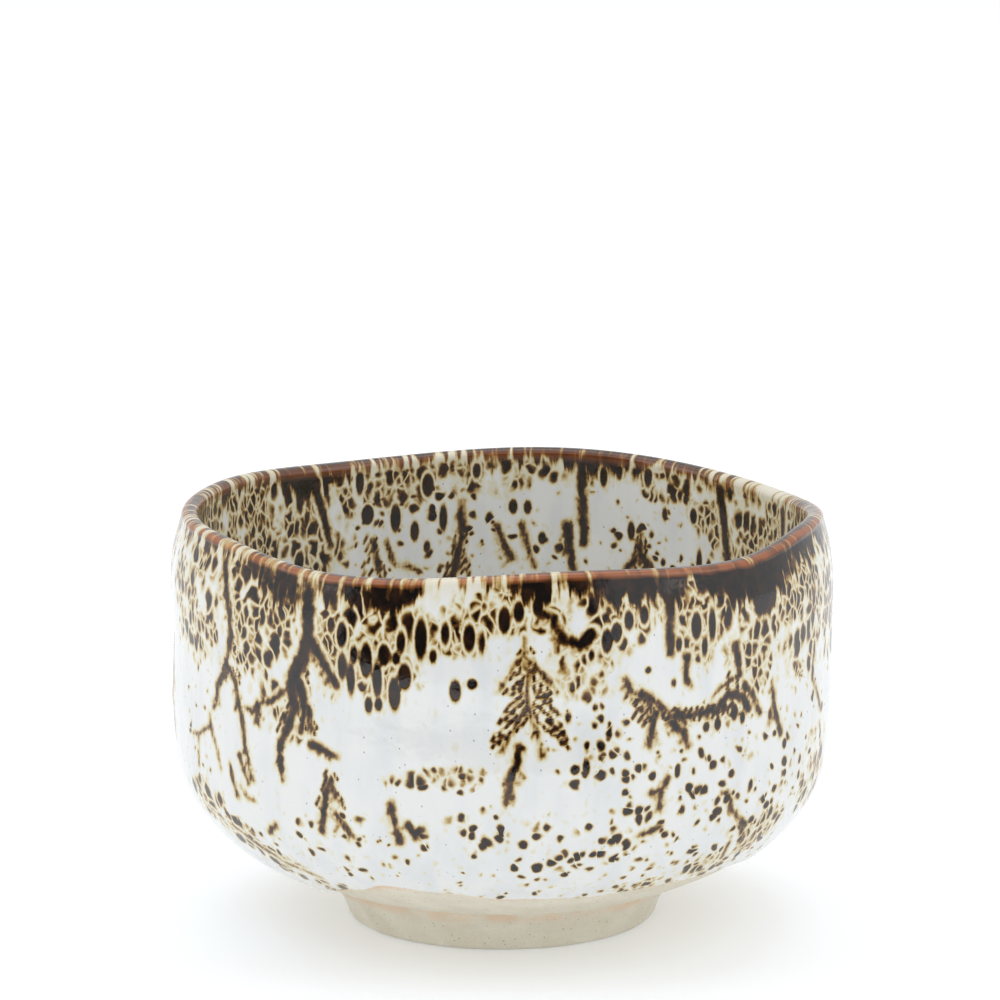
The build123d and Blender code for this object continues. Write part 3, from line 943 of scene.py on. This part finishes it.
def inside_glaze(front, back, band, material):
    """The white coat inside, from the lip's band down to the middle of the floor, with a back of its own."""
    middle = np.full(AROUND, front.along("inside")[-1])
    face = front.points("inside", spread(front.place_at_height("inside", band), middle, INSIDE_ROWS))
    middle = np.full(AROUND, back.along("inside")[-1])
    behind = back.points("inside", spread(middle, back.place_at_height("inside", band), BACK_ROWS))
    rows = np.concatenate([face, pole(face[-1]), pole(behind[0]), behind])
    return mesh_of_rows("white_glaze_inside", rows, material, pattern_fields(rows, front, False),
                        sharp_rows=(0, len(rows) - 1))


def over_the_lip(wall, band):
    """Rows over the lip, from the band's lower edge outside to its lower edge inside."""
    outer = spread(wall.place_at_height("outside", band),
                   wall.place_at_height("outside", wall.arc_base), BAND_ROWS)[:-1]
    inner = spread(wall.place_at_height("inside", wall.arc_base),
                   wall.place_at_height("inside", band), BAND_ROWS)[1:]
    arc = wall.lip_arc(LIP_ROWS)
    return np.concatenate([wall.points("outside", outer), arc, wall.points("inside", inner)])


def lip_glaze(front, band, material):
    """The thin glaze over the lip: a closed band with its own back."""
    face = over_the_lip(front, band)
    rows = np.concatenate([face, over_the_lip(Wall(LIP_GLAZE_BACK), band)[::-1]])
    outside, inside = pattern_fields(rows, front, True), pattern_fields(rows, front, False)
    is_outside = np.arange(len(face)) < BAND_ROWS - 1 + LIP_ROWS // 2
    is_outside = np.r_[is_outside, is_outside[::-1]][:, None]
    fields = {name: np.where(is_outside, outside[name], inside[name]) for name in outside}
    reach = lengths_along(face[:, 0, ::2])
    over = LIP_BAND_DEPTH * (reach / reach[-1] * 2 - 1)
    fields["over_lip"] = np.repeat(np.r_[over, over[::-1]][:, None], AROUND, 1)
    return mesh_of_rows("glaze_over_lip", rows, material, fields,
                        sharp_rows=(0, len(face) - 1, len(face), len(rows) - 1))


def clay_bowl(material):
    """The whole clay body, from the middle of its underside round the wall to the middle of its floor."""
    wall = Wall(0.0, CLAY_AROUND)
    hollow_radius, hollow_depth = 21.0, 0.9
    radius = np.r_[0, np.linspace(1.5, hollow_radius, 26), np.linspace(22, 33, 8)][:, None]
    hollow = hollow_depth * smooth_step((hollow_radius - radius) / 13)
    turning_lines = 0.10 * np.sin(radius * 2.1) * (radius < hollow_radius - 2)
    underside = wall.turned(radius, SEAT_LEVEL + (hollow + turning_lines))
    skirt_start, skirt_stop = np.zeros(CLAY_AROUND), np.full(CLAY_AROUND, SKIRT_LENGTH)
    skirt = spread(skirt_start, skirt_stop, 60)
    outer = spread(skirt_stop, wall.place_at_height("outside", wall.arc_base), 24)[1:-1]
    middle = np.full(CLAY_AROUND, wall.along("inside")[-1])
    inner = spread(wall.place_at_height("inside", wall.arc_base), middle, 30)[1:]
    inner = wall.points("inside", inner)
    rows = np.concatenate([underside, wall.points("outside", skirt), wall.points("outside", outer),
                           wall.lip_arc(CLAY_LIP_ROWS), inner, pole(inner[-1])])
    line = round_the_bowl(GLAZE_LINE, wall.azimuths)
    from_line = abs(np.hypot(rows[..., 0], rows[..., 1]) - line[None, :])
    flush = 0.9 * (1 - smooth_step((from_line - 0.3) / 3.5)) * (rows[..., 2] < 25)
    return mesh_of_rows("clay_bowl", rows, material, {"flush": flush}, closed=False)


def clay_foot(material):
    """The foot ring: cut by hand, so its edges wander a little."""
    turn = np.radians(np.arange(CLAY_AROUND) * 360 / CLAY_AROUND)
    hand = 0.16 * np.sin(2 * turn + 0.6) + 0.09 * np.sin(5 * turn) + 0.05 * np.sin(11 * turn + 2)
    outline = np.array([
        (21.2, FOOT_HEIGHT), (21.4, 5.0), (21.7, 2.0), (22.0, 0.7), (22.4, 0.2), (23.0, 0.0), (26.6, 0.0),
        (27.2, 0.08), (27.7, 0.4), (28.0, 0.9), (28.2, 1.6), (28.6, 2.8), (29.3, 4.1), (30.2, 5.3),
        (31.3, 6.5), (32.6, 7.6), (34.0, 8.5), (35.6, 9.3), (33.5, 8.9), (31.0, FOOT_HEIGHT),
    ])
    along = lengths_along(outline)
    steps = np.linspace(0, along[-1], 110)
    radius, height = [np.interp(steps, along, outline[:, k])[:, None] for k in (0, 1)]
    side = smooth_step((radius - 24) / 3) * 2 - 1
    loose = smooth_step(height / 1.5) * 0.6 + 0.4
    below_top = smooth_step((FOOT_HEIGHT - 0.4 - height) / 2)
    rows = rows_round(radius + hand[None, :] * side * loose * below_top, height, turn)
    flush = 0.45 * smooth_step((height - 5.0) / 2.5) * np.ones_like(turn)
    return mesh_of_rows("clay_foot", rows, material, {"flush": flush})


def slip_bead(material):
    """The slip that lutes the foot on, squeezed into a thin uneven bead in the crease."""
    inner_radius, outer_radius = 22.5, 30.6
    turn = np.radians(np.arange(CLAY_AROUND) * 360 / CLAY_AROUND)
    squeeze = 0.25 * np.sin(3 * turn) + 0.15 * np.sin(8 * turn + 1)
    thickness = SEAT_LEVEL - FOOT_HEIGHT
    angles = np.linspace(-pi / 2, pi / 2, 9)[:, None]
    outer = outer_radius + squeeze[None, :] + thickness * np.cos(angles)
    radius = np.concatenate([outer, np.full((2, CLAY_AROUND), inner_radius)])
    height = FOOT_HEIGHT + thickness / 2 + thickness / 2 * np.sin(angles)
    rows = rows_round(radius, np.concatenate([height, [[SEAT_LEVEL], [FOOT_HEIGHT]]]), turn)
    return mesh_of_rows("slip_bead", rows, material, {"flush": np.zeros(rows.shape[:2])})


glaze = glaze_material()
clay = clay_material()
front_wall = Wall(GLAZE)
back_wall = Wall(GLAZE_BACK)
band_edge = front_wall.lip_top - LIP_BAND_DEPTH
# Each piece, with the CAD node that it stands in for and that node's slot
PIECES = [
    (outside_glaze(front_wall, back_wall, band_edge, glaze), "outer_white_glaze", "white_glaze"),
    (inside_glaze(front_wall, back_wall, band_edge, glaze), "inner_white_glaze", "white_glaze"),
    (lip_glaze(front_wall, band_edge, glaze), "lip_glaze", "lip_glaze"),
    (clay_bowl(clay), "stoneware_bowl", "stoneware"),
    (clay_foot(clay), "foot_ring", "stoneware"),
    (slip_bead(clay), "luting_slip", "stoneware"),
]
for piece, node, slot in PIECES:
    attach(piece, "root")
    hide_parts(node)

iron = iron_material()
for node in ("outer_iron_glaze", "inner_iron_glaze"):
    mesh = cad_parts[node].data
    mesh.materials.clear()
    mesh.materials.append(iron)


# ---------- stage, light and camera, in metres
FLOOR_SIZE = 3.0
FLOOR_DARKENS = (-0.235, -0.25)
CENTRE = Vector((0, 0, 0.0375))
CAMERA_DISTANCE = 1.1
CAMERA_ELEVATION = radians(13.9)
FOCAL_LENGTH = 218.0
SENSOR = 36.0
AIM_ABOVE = radians(1.979)
AIM_LEFT = radians(0.019)
DARK_FROM = -54
DARK_TO = 34
DARK_BLUR = 4
DARK_UNTIL = (0.62, 0.5)
ROOM_STRENGTH = 0.84
TABLE_WHITE = rgb(0.935, 0.945, 0.955)
TABLE_GLOW = rgb(0.88, 0.94, 1.0)
ROOM_WHITE = rgb(0.985, 0.99, 1.0)
ROOM_DARK = rgb(0.03, 0.03, 0.03)


def dark_side(tree, direction):
    """One for mirrored rays in the sector where the studio is open and dark, round the front of the bowl."""
    angle = tree.math("ARCTAN2", tree.part(direction, "X"), tree.times(tree.part(direction, "Y"), -1.0))
    left = tree.range(angle, radians(DARK_FROM - DARK_BLUR), radians(DARK_FROM + DARK_BLUR))
    right = tree.range(angle, radians(DARK_TO + DARK_BLUR), radians(DARK_TO - DARK_BLUR))
    return tree.times(tree.times(left, right), tree.node("LightPath", output="Is Glossy Ray"))


def stage_floor():
    """A white table top. Past its front edge it mirrors as dark, as a table that ends near the bowl does."""
    bpy.ops.mesh.primitive_plane_add(size=FLOOR_SIZE)
    floor = bpy.context.object
    floor.name = "table_top"
    tree = Tree(bpy.data.materials.new("table_top"))
    white = tree.shade({"Base Color": TABLE_WHITE, "Emission Color": TABLE_GLOW, "Emission Strength": 0.19,
                        "Roughness": 0.9, "Specular IOR Level": 0.0})
    place = tree.node("TexCoord", output="Object")
    beyond = tree.times(tree.range(tree.part(place, "Y"), *FLOOR_DARKENS), dark_side(tree, place))
    dark = tree.node("Emission", {"Color": rgb(0.0, 0.0, 0.0)})
    surface = tree.node("MixShader", {0: beyond, 1: white, 2: dark})
    tree.put(tree.nodes["Material Output"].inputs["Surface"], surface)
    floor.data.materials.append(tree.owner)


def softbox(name, place, size, power):
    """A rectangular studio light that faces the bowl."""
    light = bpy.data.lights.new(name, "AREA")
    light.shape = "RECTANGLE"
    light.size, light.size_y = size
    light.energy = power
    box = bpy.data.objects.new(name, light)
    bpy.context.scene.collection.objects.link(box)
    box.location = place
    box.rotation_euler = (CENTRE - box.location).to_track_quat("-Z", "Y").to_euler()


def studio():
    """A white room that mirrors as dark low down in front, and three softboxes."""
    world = bpy.data.worlds.new("white_room")
    tree = Tree(world)
    toward = tree.node("TexCoord", output="Generated")
    open_side = tree.times(dark_side(tree, toward), tree.range(tree.part(toward, "Z"), *DARK_UNTIL))
    background = tree.nodes["Background"].inputs
    tree.put(background["Color"], tree.mix(open_side, ROOM_WHITE, ROOM_DARK))
    tree.put(background["Strength"], ROOM_STRENGTH)
    scene = bpy.context.scene
    scene.world = world
    scene.view_settings.view_transform = "Standard"
    softbox("left_softbox", Vector((-0.9, -0.25, 0.75)), (0.7, 0.9), 1.6)
    softbox("right_softbox", Vector((0.9, -0.25, 0.75)), (0.7, 0.9), 1.4)
    softbox("top_softbox", Vector((0.0, 0.35, 1.2)), (1.0, 0.7), 2.0)


def photo_camera():
    """A camera at the photo's viewing angle."""
    camera_data = bpy.data.cameras.new("camera")
    camera_data.lens = FOCAL_LENGTH
    camera_data.sensor_width = SENSOR
    camera = bpy.data.objects.new("camera", camera_data)
    bpy.context.scene.collection.objects.link(camera)
    back = Vector((0, -cos(CAMERA_ELEVATION), sin(CAMERA_ELEVATION)))
    camera.location = CENTRE + CAMERA_DISTANCE * back
    camera.rotation_euler = (pi / 2 - CAMERA_ELEVATION + AIM_ABOVE, 0, AIM_LEFT)
    bpy.context.scene.camera = camera


stage_floor()
studio()
photo_camera()
